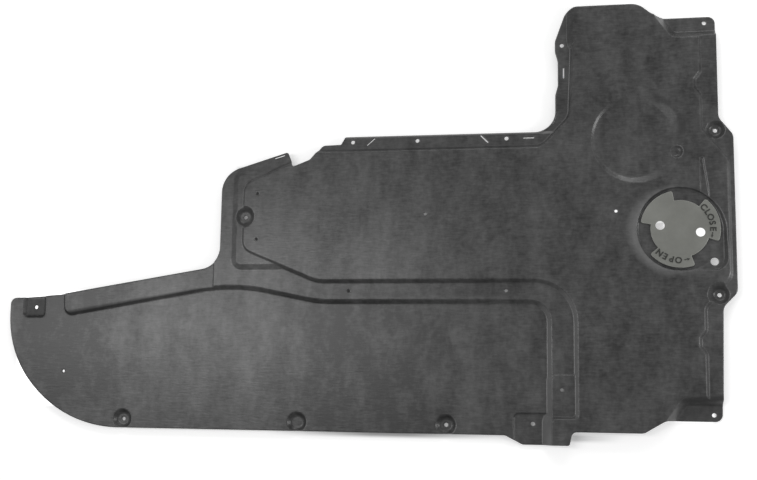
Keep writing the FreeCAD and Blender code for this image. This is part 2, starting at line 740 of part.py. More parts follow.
def form(back):
    """Solid whose upper skin is the panel's front, or its back one wall lower."""
    top = WING_RISE if back else WING_RISE + WALL
    corner = FreeCAD.Vector(-OVERHANG, -OVERHANG, -BELOW)
    solid = Part.makeBox(RIGHT + 2 * OVERHANG, TOP + 2 * OVERHANG, top + BELOW, corner)
    low_pockets = [
        pocket(tongue_pocket(), TONGUE_FLOOR, WING_RISE, back),
        pocket(square_recess(), 0.0, WING_RISE, back),
    ]
    for x, y in lower_dishes():
        low_pockets.append(round_pocket(x, y, DISH_FLAT_R, DISH_RIM_R, 0.0, WING_RISE, back))
    solid = solid.cut(low_pockets)
    fields = [
        field(channel_field(), CHANNEL_RISE, back),
        field(channel_pad_field(), CHANNEL_PAD_RISE, back),
        field(side_field(), SIDE_RISE, back),
        field(shelf_field(), SHELF_RISE, back, SHELF_RUN / (SHELF_RISE - CHANNEL_RISE)),
        field(main_field(), MAIN_RISE, back),
        field(arm_ramp(), MAIN_RISE, back, ARM_RAMP_PER_RISE),
    ]
    solid = solid.fuse(fields)
    pockets = [
        pocket(strip_pad(), CHANNEL_RISE - STRIP_PAD_DEPTH, CHANNEL_RISE, back),
        pocket(upper_corner(), 0.0, MAIN_RISE, back),
        pocket(lower_corner(), 0.0, MAIN_RISE, back),
        pocket(seat_recess(), MAIN_RISE - SEAT_DEPTH, MAIN_RISE, back, TAN_SEAT),
        pocket(seat_bank(), MAIN_RISE - SEAT_DEPTH, MAIN_RISE, back, BANK_PER_RISE),
        sharp_pocket(crease(), MAIN_RISE - CREASE_DEPTH, MAIN_RISE, back),
    ]
    floor = MAIN_RISE - FLARE_DEPTH
    pockets.append(cone_pocket(SEAT_X, SEAT_Y, SEAT_R, SEAT_R + FLARE_RUN, floor, MAIN_RISE, back))
    for x, y in side_dishes():
        dish = (x, y, SMALL_DISH_FLAT_R, SMALL_DISH_RIM_R, SIDE_DISH_FLOOR, SIDE_RISE)
        pockets.append(round_pocket(*dish, back))
    x, y = shelf_dish()
    floor = MAIN_RISE - SHELF_DISH_DEPTH
    pockets.append(round_pocket(x, y, SHELF_DISH_FLAT_R, SHELF_DISH_RIM_R, floor, MAIN_RISE, back))
    x, y = patch_centre()
    shift = (-PATCH_SHIFT, 0.0)
    floor = MAIN_RISE - PATCH_DEPTH
    pockets.append(round_pocket(x, y, PATCH_R - PATCH_RUN, PATCH_R, floor, MAIN_RISE, back, shift))
    floor -= DIMPLE_FLOOR_DROP
    dimple = (x + DIMPLE_RUN, y - DIMPLE_DROP, DIMPLE_R - DIMPLE_WALL_RUN, DIMPLE_R, floor, MAIN_RISE)
    pockets.append(round_pocket(*dimple, back))
    return solid.cut(pockets)


def drill(x, y, diameter):
    """Upright cutter of a round hole through any field."""
    return Part.makeCylinder(diameter / 2, MAIN_RISE + ABOVE, FreeCAD.Vector(x, y, -BELOW))


def slit(x, y, angle):
    """Upright cutter of a slit with round ends, centred at x, y."""
    half = (SLIT_LENGTH - SLIT_WIDTH) / 2
    height = MAIN_RISE + ABOVE
    radius = SLIT_WIDTH / 2
    bar = Part.makeBox(2 * half, SLIT_WIDTH, height, FreeCAD.Vector(-half, -radius, -BELOW))
    ends = [Part.makeCylinder(radius, height, FreeCAD.Vector(side * half, 0, -BELOW)) for side in (-1, 1)]
    solid = bar.fuse(ends).removeSplitter()
    solid.rotate(FreeCAD.Vector(), FreeCAD.Vector(0, 0, 1), angle)
    solid.translate(FreeCAD.Vector(x, y, 0))
    return solid


def fastening_holes():
    """Cutters of the holes that fasten the panel to the car."""
    places = lower_dishes()[::2] + side_dishes() + [shelf_dish()]
    places.append((RECESS_X, BOTTOM + RECESS_HOLE_RISE))
    corner_x = SIDE_EDGE - CORNER_HOLE_INSET
    places.append((corner_x, BOTTOM + LOWER_CORNER_RISE + CORNER_HOLE_EDGE))
    places.append((corner_x, TOP - ARM_TOP_DROP - CORNER_HOLE_EDGE))
    for step in FLANGE_HOLES:
        places.append((LEDGE_X + LEDGE_LEAN + step, BODY_TOP - FLANGE_HOLE_EDGE))
    places.append((ARM_LEFT + ARM_HOLE_EDGE, BODY_TOP + ARM_HOLE_RISE))
    places.append((ARM_LEFT - TONGUE_HOLE_X, TONGUE_HOLE_RISE))
    return [drill(x, y, FASTENER_D) for x, y in places]


def locating_holes():
    """Cutters of the small holes in the fields, and of the drain hole."""
    row = BOTTOM + CROSS_ROW_RISE
    channel_row = BOTTOM + CHANNEL_ROW_RISE
    places = [
        (WING_HOLE_X, WING_HOLE_Y),
        (MAIN_LEFT + PAIR_RUN, row - PAIR_HALF),
        (MAIN_LEFT + PAIR_RUN, row + PAIR_HALF),
        (MAIN_LEFT + CROSS_HOLE_RUN, row),
        (ARM_LEFT + ARM_CROSS_RUN, row),
        (CHANNEL_LEFT + PAD_HOLE_RUN, BOTTOM + PAD_HOLE_RISE),
    ]
    places += [(MAIN_LEFT + run, channel_row) for run in CHANNEL_HOLE_RUNS]
    cutters = [drill(x, y, SMALL_D) for x, y in places]
    cutters.append(drill(SEAT_X + DRAIN_RUN, SEAT_Y - DRAIN_DROP, DRAIN_D))
    return cutters


def slits():
    """Cutters of the slits in the flanges."""
    flange_y = BODY_TOP - FLANGE_HOLE_EDGE
    tab_x = BODY_LEFT + TAB_ALONG - TAB_SLIT_BACK
    places = [
        (tab_x, BODY_TOP - TAB_DROP - TAB_SLIT_DROP, TAB_SLIT_ANGLE),
        (MAIN_LEFT + LEFT_SLIT_RUN, flange_y, LEFT_SLIT_ANGLE),
        (MAIN_LEFT + RIGHT_SLIT_RUN, flange_y, RIGHT_SLIT_ANGLE),
        (MAIN_LEFT + LEVEL_SLIT_RUN, flange_y, 0.0),
        (ARM_LEFT + ARM_SLIT_EDGE, BODY_TOP + ARM_SLIT_RISE, 90.0),
    ]
    return [slit(*place) for place in places]


def wedge(radius, low, high, middle, angle):
    """Slice of a disc about the seat's centre, spread angle round the bearing middle."""
    centre = FreeCAD.Vector(SEAT_X, SEAT_Y, low)
    up = FreeCAD.Vector(0, 0, 1)
    solid = Part.makeCylinder(radius, high - low, centre, up, angle)
    solid.rotate(centre, up, middle - angle / 2)
    return solid


def tab_bearings():
    """Bearings of the cover's tabs."""
    return [TAB_FIRST + i * 360.0 / TAB_COUNT for i in range(TAB_COUNT)]


def seat_opening():
    """Cutter of the opening in the ledge, with a notch under each tab for a lug to pass."""
    low = LEDGE_BOTTOM - WALL
    high = LEDGE_TOP + WALL
    solid = wedge(SPIGOT_R + BORE_GAP, low, high, 0.0, 360.0)
    notches = []
    for bearing in tab_bearings():
        notches.append(wedge(LUG_R + BORE_GAP, low, high, bearing, LUG_ANGLE + 2 * NOTCH_ANGLE_ROOM))
    return solid.fuse(notches)


def blank(low, high, grow=0.0):
    """Upright prism on the panel's outline, grown by grow."""
    face = Part.Face(outline(panel_outline(), low, grow))
    return face.extrude(FreeCAD.Vector(0, 0, high - low))


def edge_lip():
    """Lip on the edge of the top flange, which runs on up the arm."""
    low = CHANNEL_RISE + WALL / 2
    high = CHANNEL_RISE + WALL + LIP_HEIGHT
    ring = blank(low, high).cut(blank(low, high, -LIP_WIDTH))
    start = FreeCAD.Vector(LEDGE_X + LEDGE_LEAN + LIP_WIDTH, BODY_TOP - 2 * LIP_WIDTH, low)
    length = ARM_LEFT + ARM_EASE + 2 * LIP_WIDTH - start.x
    return ring.common(Part.makeBox(length, LIP_RISE, high - low, start))


def build_panel():
    """The moulded panel, trimmed to its outline, with its holes."""
    shell = form(False).cut(form(True))
    trimmed = shell.common(blank(-BELOW, MAIN_RISE + ABOVE)).fuse(edge_lip())
    return trimmed.cut(fastening_holes() + locating_holes() + slits() + [seat_opening()])


def build_cover():
    """The access cover: a disc with tabs on the ledge, and lugs that turn in behind it."""
    low = LEDGE_TOP + TURN_GAP
    high = low + COVER_THICKNESS
    lug_top = LEDGE_BOTTOM - TURN_GAP
    lug_low = lug_top - LUG_THICKNESS
    plate = wedge(COVER_DISC_R, low, high, 0.0, 360.0)
    tabs = [wedge(SEAT_R - TAB_GAP, low, high, bearing, TAB_ANGLE) for bearing in tab_bearings()]
    plate = plate.fuse(tabs).removeSplitter()
    corners = [e for e in plate.Edges if is_tab_corner(e)]
    plate = plate.makeFillet(COVER_CORNER_R, corners)
    plate = chamfered_at(plate, high, COVER_EDGE_BREAK)
    ring = wedge(SPIGOT_R, lug_low, low, 0.0, 360.0)
    lugs = []
    for bearing in tab_bearings():
        lugs.append(wedge(LUG_R, lug_low, lug_top, bearing + 180.0 / TAB_COUNT, LUG_ANGLE))
    bore = wedge(SPIGOT_R - SPIGOT_WALL, lug_low - WALL, low, 0.0, 360.0)
    hub = ring.fuse(lugs).cut(bore)
    cover = plate.fuse(hub)
    turn = math.radians(FINGER_TURN)
    holes = []
    for side in (-0.5, 0.5):
        x = SEAT_X + side * FINGER_PITCH * math.cos(turn)
        y = SEAT_Y + side * FINGER_PITCH * math.sin(turn)
        holes.append(drill(x, y, FINGER_D))
    return cover.cut(holes).removeSplitter()


def is_tab_corner(edge):
    """Whether an edge stands upright at the outer end of a tab."""
    box = edge.BoundBox
    if box.ZLength < COVER_THICKNESS / 2 or box.XLength > SMALLEST_CORNER or box.YLength > SMALLEST_CORNER:
        return False
    centre = FreeCAD.Vector(SEAT_X, SEAT_Y, edge.CenterOfMass.z)
    return edge.CenterOfMass.distanceToPoint(centre) > (COVER_DISC_R + SEAT_R) / 2


def main():
    """Builds both parts, moves the origin under the middle of the panel and writes them."""
    os.makedirs("parts", exist_ok=True)
    panel = build_panel()
    cover = build_cover()
    to_origin = FreeCAD.Vector(-RIGHT / 2, -TOP / 2, 0)
    for name, shape in (("panel", panel), ("access_cover", cover)):
        shape.translate(to_origin)
        shape.exportStep("parts/" + name + ".step")
        print(name, shape.isValid(), len(shape.Solids), round(shape.Volume))


main()
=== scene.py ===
"""Looks of a moulded fibre underbody panel with a turning access cover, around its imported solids."""

import json
import logging
import math
from collections.abc import Sequence
from dataclasses import dataclass, field
from enum import Enum
from typing import Any

import bmesh
import bpy
from mathutils import Matrix, Vector


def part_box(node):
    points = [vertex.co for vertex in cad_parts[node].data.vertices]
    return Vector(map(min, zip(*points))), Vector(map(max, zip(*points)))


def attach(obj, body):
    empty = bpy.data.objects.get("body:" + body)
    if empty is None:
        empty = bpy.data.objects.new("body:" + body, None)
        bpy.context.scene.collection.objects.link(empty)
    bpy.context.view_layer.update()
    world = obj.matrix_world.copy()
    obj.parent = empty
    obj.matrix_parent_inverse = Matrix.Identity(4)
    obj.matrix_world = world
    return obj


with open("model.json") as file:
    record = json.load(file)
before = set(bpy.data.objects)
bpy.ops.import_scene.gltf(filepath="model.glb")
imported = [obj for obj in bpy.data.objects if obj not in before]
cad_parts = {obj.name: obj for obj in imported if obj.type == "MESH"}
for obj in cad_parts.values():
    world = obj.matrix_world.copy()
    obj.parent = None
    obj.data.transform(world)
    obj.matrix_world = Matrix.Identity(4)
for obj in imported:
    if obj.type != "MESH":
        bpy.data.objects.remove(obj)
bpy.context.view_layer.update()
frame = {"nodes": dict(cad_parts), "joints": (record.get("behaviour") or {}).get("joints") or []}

MM = 0.001
UNIT = (0.0, 1.0)
NOISE_ROUGHNESS = 0.62
BEVEL_SAMPLES = 8
# Cosine of the turn that rounding gives a surface: on the level, and right on an edge.
EDGE_SPAN = (0.995, 0.94)
# Bearing at which a sign that is made upright already stands right, in degrees.
UPRIGHT = 90.0
WELD_M = 1e-6
log = logging.getLogger("underbody_panel")

Tree = bpy.types.NodeTree
Node = bpy.types.Node
Socket = bpy.types.NodeSocket
Pair = tuple[float, float]
Triple = tuple[float, float, float]


def linear(code: str) -> tuple[float, float, float, float]:
    """Turns an sRGB hex colour into Blender's linear colour, by the curve of the sRGB standard.

    Args:
        code: six hex digits, such as "4a4a4a".

    Returns:
        Red, green, blue and an alpha of one.
    """
    channels = []
    for start in (0, 2, 4):
        value = int(code[start:start + 2], 16) / 255
        channels.append(value / 12.92 if value <= 0.04045 else ((value + 0.055) / 1.055) ** 2.4)
    return (*channels, 1.0)


def add_node(
    tree: Tree, kind: str, inputs: dict[Any, Any] | Sequence[Any] = (), **settings: Any
) -> Node:
    """Adds a node, sets its properties and fills or links its inputs.

    Args:
        tree: the node tree to add to.
        kind: Blender's name of the node type.
        inputs: what each input gets: a value, the socket that feeds it, or the node whose first
            output feeds it. They are given by the input's name or number, or in their order.
        settings: the node's own properties.

    Returns:
        The new node.
    """
    node = tree.nodes.new(kind)
    for name, value in settings.items():
        setattr(node, name, value)
    for key, value in inputs.items() if isinstance(inputs, dict) else enumerate(inputs):
        if isinstance(value, Node):
            value = value.outputs[0]
        if isinstance(value, Socket):
            tree.links.new(value, node.inputs[key])
        else:
            node.inputs[key].default_value = value
    return node


@dataclass(frozen=True)
class Pattern:
    """Noise of a real size, and the two shades that it runs between.

    It is given by its repeat along X, Y and Z in millimetres, by how many finer layers it has, and by
    the span of the noise that becomes the shades.
    """

    repeat_mm: Triple
    detail: float
    span: Pair = UNIT
    shades: Pair = UNIT

    def build(self, tree: Tree, place: Socket) -> Node:
        """Adds the pattern.

        Args:
            tree: the node tree to add to.
            place: the coordinates it lies on.

        Returns:
            The node that gives the shade.
        """
        scale = tuple(1.0 / (length * MM) for length in self.repeat_mm)
        mapping = add_node(tree, "ShaderNodeMapping", {"Vector": place, "Scale": scale})
        layers = {"Vector": mapping, "Scale": 1.0, "Detail": self.detail, "Roughness": NOISE_ROUGHNESS}
        noise = add_node(tree, "ShaderNodeTexNoise", layers)
        return add_node(tree, "ShaderNodeMapRange", (noise, *self.span, *self.shades))


@dataclass(frozen=True)
class Region:
    """Box in the plan with soft sides, in millimetres, and the share that it stands for.

    It is given by its middle, its length and width, the soft part of each, and its turn in degrees.
    """

    middle: Pair
    size: Pair
    soft: Pair
    share: float
    turn: float = 0.0

    def mask(self, tree: Tree, place: Socket) -> Node:
        """Marks the region.

        Args:
            tree: the node tree to add to.
            place: the coordinates it lies on.

        Returns:
            The node that gives one inside and zero outside.
        """
        middle = (self.middle[0] * MM, self.middle[1] * MM, 0.0)
        turn = (0.0, 0.0, math.radians(self.turn))
        inputs = {"Vector": place, "Location": middle, "Rotation": turn}
        own = add_node(tree, "ShaderNodeMapping", inputs, vector_type="TEXTURE")
        axes = add_node(tree, "ShaderNodeSeparateXYZ", (own,)).outputs
        mask: Any = 1.0
        for axis, length, soft in zip(axes, self.size, self.soft):
            away = add_node(tree, "ShaderNodeMath", (axis,), operation="ABSOLUTE")
            fall = (length / 2 * MM, (length / 2 - soft) * MM)
            side = add_node(tree, "ShaderNodeMapRange", (away, *fall, *UNIT))
            mask = add_node(tree, "ShaderNodeMath", (side, mask), operation="MULTIPLY")
        return mask

    def part(self, tree: Tree, place: Socket) -> Node:
        """Spreads the region's share over it.

        Args:
            tree: the node tree to add to.
            place: the coordinates it lies on.

        Returns:
            The node that gives the share inside and zero outside.
        """
        mask = self.mask(tree, place)
        return add_node(tree, "ShaderNodeMath", (mask, self.share), operation="MULTIPLY")


@dataclass(frozen=True)
class Circle:
    """Circle in the plan with a soft side: its middle, its radius and the soft part, in millimetres."""

    middle: Pair
    radius: float
    soft: float

    def mask(self, tree: Tree, place: Socket) -> Node:
        """Marks the circle, at any height.

        Args:
            tree: the node tree to add to.
            place: the coordinates it lies on.

        Returns:
            The node that gives one inside and zero outside.
        """
        middle = (self.middle[0] * MM, self.middle[1] * MM, 0.0)
        level = add_node(tree, "ShaderNodeVectorMath", (place, (1.0, 1.0, 0.0)), operation="MULTIPLY")
        away = add_node(tree, "ShaderNodeVectorMath", (level, middle), operation="DISTANCE")
        fall = (self.radius * MM, (self.radius - self.soft) * MM)
        return add_node(tree, "ShaderNodeMapRange", (away.outputs["Value"], *fall, *UNIT))


def edge_share(tree: Tree, rounded: Node, strength: Any) -> Node:
    """Marks both sides of each edge.

    Args:
        tree: the node tree to add to.
        rounded: the surface's direction with its edges rounded.
        strength: share on the edge itself.

    Returns:
        The node that gives zero on the level, up to the strength on an edge.
    """
    straight = add_node(tree, "ShaderNodeNewGeometry").outputs["True Normal"]
    turned = add_node(tree, "ShaderNodeVectorMath", (rounded, straight), operation="DOT_PRODUCT")
    edge = add_node(tree, "ShaderNodeMapRange", (turned.outputs["Value"], *EDGE_SPAN, *UNIT))
    return add_node(tree, "ShaderNodeMath", (edge, strength), operation="MULTIPLY")


def painted(tree: Tree, base: str, coats: Sequence[tuple[Node, str]]) -> Socket:
    """Lays coats of colour over a base.

    Args:
        tree: the node tree to add to.
        base: the base's sRGB hex colour.
        coats: the share, from zero to one, and the sRGB hex colour of each coat, in their order.

    Returns:
        The socket of the colour that shows.
    """
    colour: Any = linear(base)
    for share, code in coats:
        inputs = {0: share, 6: colour, 7: linear(code)}
        colour = add_node(tree, "ShaderNodeMix", inputs, data_type="RGBA").outputs[2]
    return colour


def new_material(name: str) -> tuple[bpy.types.Material, Tree]:
    """Makes an empty node material.

    Args:
        name: the material's name.

    Returns:
        The material and its node tree.
    """
    material = bpy.data.materials.new(name)
    material.use_nodes = True
    material.node_tree.nodes.clear()
    return material, material.node_tree


def add_surface(tree: Tree, colour: Socket, roughness: Any, relief: dict[str, Any]) -> None:
    """Ends a material with its relief, its surface and its output.

    Args:
        tree: the node tree to add to.
        colour: the surface's colour.
        roughness: the surface's roughness.
        relief: the bump's inputs.
    """
    bump = add_node(tree, "ShaderNodeBump", relief)
    look = {"Base Color": colour, "Roughness": roughness, "Normal": bump}
    surface = add_node(tree, "ShaderNodeBsdfPrincipled", look)
    add_node(tree, "ShaderNodeOutputMaterial", {"Surface": surface})


def dress(piece: bpy.types.Object, material: bpy.types.Material) -> None:
    """Gives every material slot of a piece one material.

    Args:
        piece: the piece to dress.
        material: the material it gets.
    """
    if not piece.material_slots:
        piece.data.materials.append(material)
    for slot in piece.material_slots:
        slot.material = material


@dataclass(frozen=True)
class FibreBoardFinish:
    """Needle-punched polyester felt, compression moulded: dull, mottled, with painted light and shade.

    Painted shade darkens its steps and hollows, most on the listed bends, and a painted highlight
    lies on the edges of its steps, most where they face -X.
    """

    name: str = "compression_moulded_fibre_board"
    dark: str = "272727"
    pale: str = "575757"
    # Painted shade on steps and in hollows.
    painted_shade: str = "1a1a1a"
    # Painted highlight on step edges, on the walls of the channel's leg, on the lip and round the seat.
    painted_highlight: str = "8c8c8c"
    clouds: Pattern = Pattern((40.0, 84.0, 84.0), 5.0, (0.36, 0.7), (0.06, 0.6))
    blotches: Pattern = Pattern((10.0, 13.0, 13.0), 6.0, (0.37, 0.7), (0.0, 0.36))
    # One fibre is some hundredths of a millimetre thick, too fine to show, so bundles are drawn.
    fibres: Pattern = Pattern((15.0, 3.0, 3.0), 3.0, (0.3, 0.7), (-0.15, 0.19))
    crease_radius_mm: float = 3.2
    roughness: Pair = (0.34, 0.28)
    painted_highlight_roughness: float = 0.34
    painted_shade_roughness: float = 0.6
    painted_shade_span: Pair = (0.0, 0.5)
    bump_mm: float = 0.3
    bump_strength: float = 0.6
    # The surface's direction along Z, from the level to a step's full slope.
    slope_span: Pair = (0.98, 0.72)
    # How far a slope faces along X rather than Y, and the least slope that counts in it.
    faced_span: Pair = (0.2, 0.9)
    faced_edge_span: Pair = (0.3, 0.9)
    least_slope: float = 0.03
    # Painted shade share of a step that faces along Y and of one that faces along X, away from the
    # bends.
    beside_share: float = 0.1
    across_share: float = 0.05
    # The surface's direction along X, from facing +X to facing -X, with an edge's painted highlight
    # share.
    end_span: Pair = (0.2, -0.2)
    end_shares: Pair = (0.1, 0.9)
    beside_edge_share: float = 0.05
    # Walls facing -X in the channel's leg get painted light over this span of their direction along X.
    wall_span: Pair = (-0.25, -0.6)
    # The lip of the top flange, which gets a painted highlight.
    lip: Region = Region((158.0, 166.4), (436.0, 5.2), (6.0, 0.4), 0.5)
    # The bank round the cover's seat gets a painted highlight, inside the second circle and outside the
    # first.
    seat: Circle = Circle((596.0, -17.0), 77.0, 1.5)
    bank: Circle = Circle((585.0, -20.0), 85.0, 14.0)
    bank_share: float = 0.34
    # Steps that face along X and get strong painted shade.
    bends: tuple[Region, ...] = (
        Region((-240.0, 10.0), (36.0, 200.0), (4.0, 4.0), 0.62),
        Region((632.0, -220.0), (44.0, 230.0), (6.0, 10.0), 0.6),
        Region((636.0, 262.0), (60.0, 60.0), (8.0, 8.0), 0.6),
    )
    # The leg of the channel, whose walls facing -X get painted light.
    leg: Region = Region((378.0, -262.0), (112.0, 310.0), (8.0, 24.0), 0.4)
    # Parts of the fields that are paler than the rest, or darker.
    weights: tuple[Region, ...] = (
        Region((-191.0, -260.0), (50.0, 290.0), (20.0, 30.0), 0.2),
        Region((-570.0, -225.0), (300.0, 330.0), (110.0, 90.0), -0.48),
        Region((20.0, -262.0), (360.0, 290.0), (90.0, 40.0), -0.34),
        Region((120.0, -120.0), (460.0, 40.0), (50.0, 8.0), -0.2),
        Region((-170.0, 5.0), (180.0, 230.0), (70.0, 70.0), 0.24),
        Region((655.0, -95.0), (110.0, 260.0), (30.0, 70.0), 0.16),
    )
    # Troughs, flanges and recesses darkened as a whole by painted shade.
    hollows: tuple[Region, ...] = (
        Region((-430.0, -145.5), (282.0, 12.0), (5.0, 5.0), 0.42, turn=9.2),
        Region((-640.5, -157.0), (52.0, 40.0), (5.0, 5.0), 0.3),
        Region((152.0, 142.0), (460.0, 13.0), (10.0, 5.0), 0.4),
        Region((628.0, -318.0), (94.0, 16.0), (12.0, 6.0), 0.85, turn=4.0),
        Region((632.0, -343.0), (100.0, 44.0), (10.0, 8.0), 0.3),
        Region((603.0, 170.0), (24.0, 52.0), (8.0, 14.0), 0.6),
        Region((570.0, 219.0), (56.0, 18.0), (14.0, 7.0), 0.6, turn=-28.0),
    )

    def build(self) -> bpy.types.Material:
        """Builds the material.

        Returns:
            The board's material.
        """
        material, tree = new_material(self.name)
        place = add_node(tree, "ShaderNodeTexCoord").outputs["Object"]
        fibres = self.fibres.build(tree, place)
        mottling = self._mottling(tree, place)
        shade = add_node(tree, "ShaderNodeMath", (mottling, fibres), operation="ADD", use_clamp=True)
        radius = self.crease_radius_mm * MM
        rounded = add_node(tree, "ShaderNodeBevel", {"Radius": radius}, samples=BEVEL_SAMPLES)
        axes = add_node(tree, "ShaderNodeSeparateXYZ", (rounded,)).outputs
        steep = add_node(tree, "ShaderNodeMapRange", (axes["Z"], *self.slope_span, *UNIT))
        faced = self._faced(tree, axes)
        # Painted shade, and painted highlights on edges, walls and whole parts, go over the mottling.
        painted_shade = self._painted_shading(tree, place, steep, faced)
        edges = self._edges(tree, place, rounded, axes["X"], steep, faced)
        pale = self._pale_parts(tree, place)
        painted_highlight = add_node(tree, "ShaderNodeMath", (edges, pale), operation="MAXIMUM")
        coats = ((shade, self.pale), (painted_shade, self.painted_shade), (painted_highlight, self.painted_highlight))
        rough = add_node(tree, "ShaderNodeMapRange", (mottling, *UNIT, *self.roughness))
        rough = add_node(tree, "ShaderNodeMapRange", (painted_highlight, *UNIT, rough, self.painted_highlight_roughness))
        spread = (painted_shade, *self.painted_shade_span, rough, self.painted_shade_roughness)
        rough = add_node(tree, "ShaderNodeMapRange", spread)
        relief = {"Distance": self.bump_mm * MM, "Strength": self.bump_strength}
        relief |= {"Height": fibres, "Normal": rounded}
        add_surface(tree, painted(tree, self.dark, coats), rough, relief)
        return material

    def _mottling(self, tree: Tree, place: Socket) -> Node:
        """Cloudy patches where the felt lies thicker or thinner, and whole fields made paler or darker.

        Args:
            tree: the node tree to add to.
            place: the coordinates it lies on.

        Returns:
            The node that gives a shade from zero, dark, to one, pale.
        """
        wide = self.clouds.build(tree, place)
        narrow = self.blotches.build(tree, place)
        shade = add_node(tree, "ShaderNodeMath", (wide, narrow), operation="ADD")
        for weight in self.weights:
            inputs = (shade, weight.part(tree, place))
            shade = add_node(tree, "ShaderNodeMath", inputs, operation="ADD")
        return shade

    def _faced(self, tree: Tree, axes: Any) -> Node:
        """How far a slope faces along X rather than Y.

        Args:
            tree: the node tree to add to.
            axes: the surface's direction along X, Y and Z.

        Returns:
            The node that gives zero for a level or a slope that faces along Y, and one for one along X.
        """
        along = add_node(tree, "ShaderNodeMath", (axes["X"],), operation="ABSOLUTE")
        beside = add_node(tree, "ShaderNodeMath", (axes["Y"],), operation="ABSOLUTE")
        slope = add_node(tree, "ShaderNodeMath", (along, beside), operation="ADD")
        slope = add_node(tree, "ShaderNodeMath", (slope, self.least_slope), operation="ADD")
        return add_node(tree, "ShaderNodeMath", (along, slope), operation="DIVIDE")

    def _painted_shading(self, tree: Tree, place: Socket, steep: Node, faced: Node) -> Node:
        """Where painted shade darkens the board over a step or in a hollow.

        Args:
            tree: the node tree to add to.
            place: the coordinates it lies on.
            steep: zero on the level, one on a step.
            faced: how far a slope faces along X rather than Y.

        Returns:
            The node that gives the painted shade share, from zero to one.
        """
        across: Any = self.across_share
        for bend in self.bends:
            inputs = (across, bend.part(tree, place))
            across = add_node(tree, "ShaderNodeMath", inputs, operation="MAXIMUM")
        spread = (faced, *self.faced_span, self.beside_share, across)
        share = add_node(tree, "ShaderNodeMapRange", spread)
        painted_shade = add_node(tree, "ShaderNodeMath", (steep, share), operation="MULTIPLY")
        for hollow in self.hollows:
            inputs = (painted_shade, hollow.part(tree, place))
            painted_shade = add_node(tree, "ShaderNodeMath", inputs, operation="MAXIMUM")
        return painted_shade

    def _edges(
        self, tree: Tree, place: Socket, rounded: Node, run: Socket, steep: Node, faced: Node
    ) -> Node:
        """Where edges get a painted highlight, and painted light on the walls of the channel's leg.

        Args:
            tree: the node tree to add to.
            place: the coordinates it lies on.
            rounded: the surface's direction with its edges rounded.
            run: that direction along X.
            steep: zero on the level, one on a step.
            faced: how far a slope faces along X rather than Y.

        Returns:
            The node that gives the painted highlight share, from zero to one.
        """
        ends = add_node(tree, "ShaderNodeMapRange", (run, *self.end_span, *self.end_shares))
        spread = (faced, *self.faced_edge_span, self.beside_edge_share, ends)
        edges = edge_share(tree, rounded, add_node(tree, "ShaderNodeMapRange", spread))
        wall = add_node(tree, "ShaderNodeMapRange", (run, *self.wall_span, *UNIT))
        for share in (steep, self.leg.part(tree, place)):
            wall = add_node(tree, "ShaderNodeMath", (wall, share), operation="MULTIPLY")
        return add_node(tree, "ShaderNodeMath", (edges, wall), operation="MAXIMUM")

    def _pale_parts(self, tree: Tree, place: Socket) -> Node:
        """Where whole parts get a painted highlight: the top flange's lip and the bank round the cover's
        seat.

        Args:
            tree: the node tree to add to.
            place: the coordinates it lies on.

        Returns:
            The node that gives the painted highlight share, from zero to one.
        """
        seat = self.seat.mask(tree, place)
        outside = add_node(tree, "ShaderNodeMath", (1.0, seat), operation="SUBTRACT")
        bank: Any = self.bank_share
        for share in (outside, self.bank.mask(tree, place)):
            bank = add_node(tree, "ShaderNodeMath", (bank, share), operation="MULTIPLY")
        lip = self.lip.part(tree, place)
        return add_node(tree, "ShaderNodeMath", (lip, bank), operation="MAXIMUM")


@dataclass(frozen=True)
class CoverPlasticFinish:
    """Injection-moulded polypropylene with a spark-eroded grain: even, with a dull gloss."""

    name: str = "moulded_polypropylene"
    dark: str = "70716c"
    pale: str = "82837e"
    # Painted highlight on the rounded edges.
    rim: str = "c6c7c2"
    clouds: Pattern = Pattern((60.0, 60.0, 60.0), 4.0, (0.3, 0.7))
    # The real grain is about 0.1 mm wide, too fine to show, so it is drawn coarser.
    grain: Pattern = Pattern((0.9, 0.9, 0.9), 2.0)
    roughness: float = 0.42
    bump_mm: float = 0.05
    bump_strength: float = 0.5
    edge_radius_mm: float = 0.9
    rim_share: float = 0.6

    def build(self) -> bpy.types.Material:
        """Builds the material.

        Returns:
            The cover's material.
        """
        material, tree = new_material(self.name)
        place = add_node(tree, "ShaderNodeTexCoord").outputs["Object"]
        radius = self.edge_radius_mm * MM
        rounded = add_node(tree, "ShaderNodeBevel", {"Radius": radius}, samples=BEVEL_SAMPLES)
        # The rounded edges get a painted highlight.
        painted_rim_highlight = edge_share(tree, rounded, self.rim_share)
        coats = ((self.clouds.build(tree, place), self.pale), (painted_rim_highlight, self.rim))
        relief = {"Distance": self.bump_mm * MM, "Strength": self.bump_strength}
        relief |= {"Height": self.grain.build(tree, place), "Normal": rounded}
        add_surface(tree, painted(tree, self.dark, coats), self.roughness, relief)
        return material


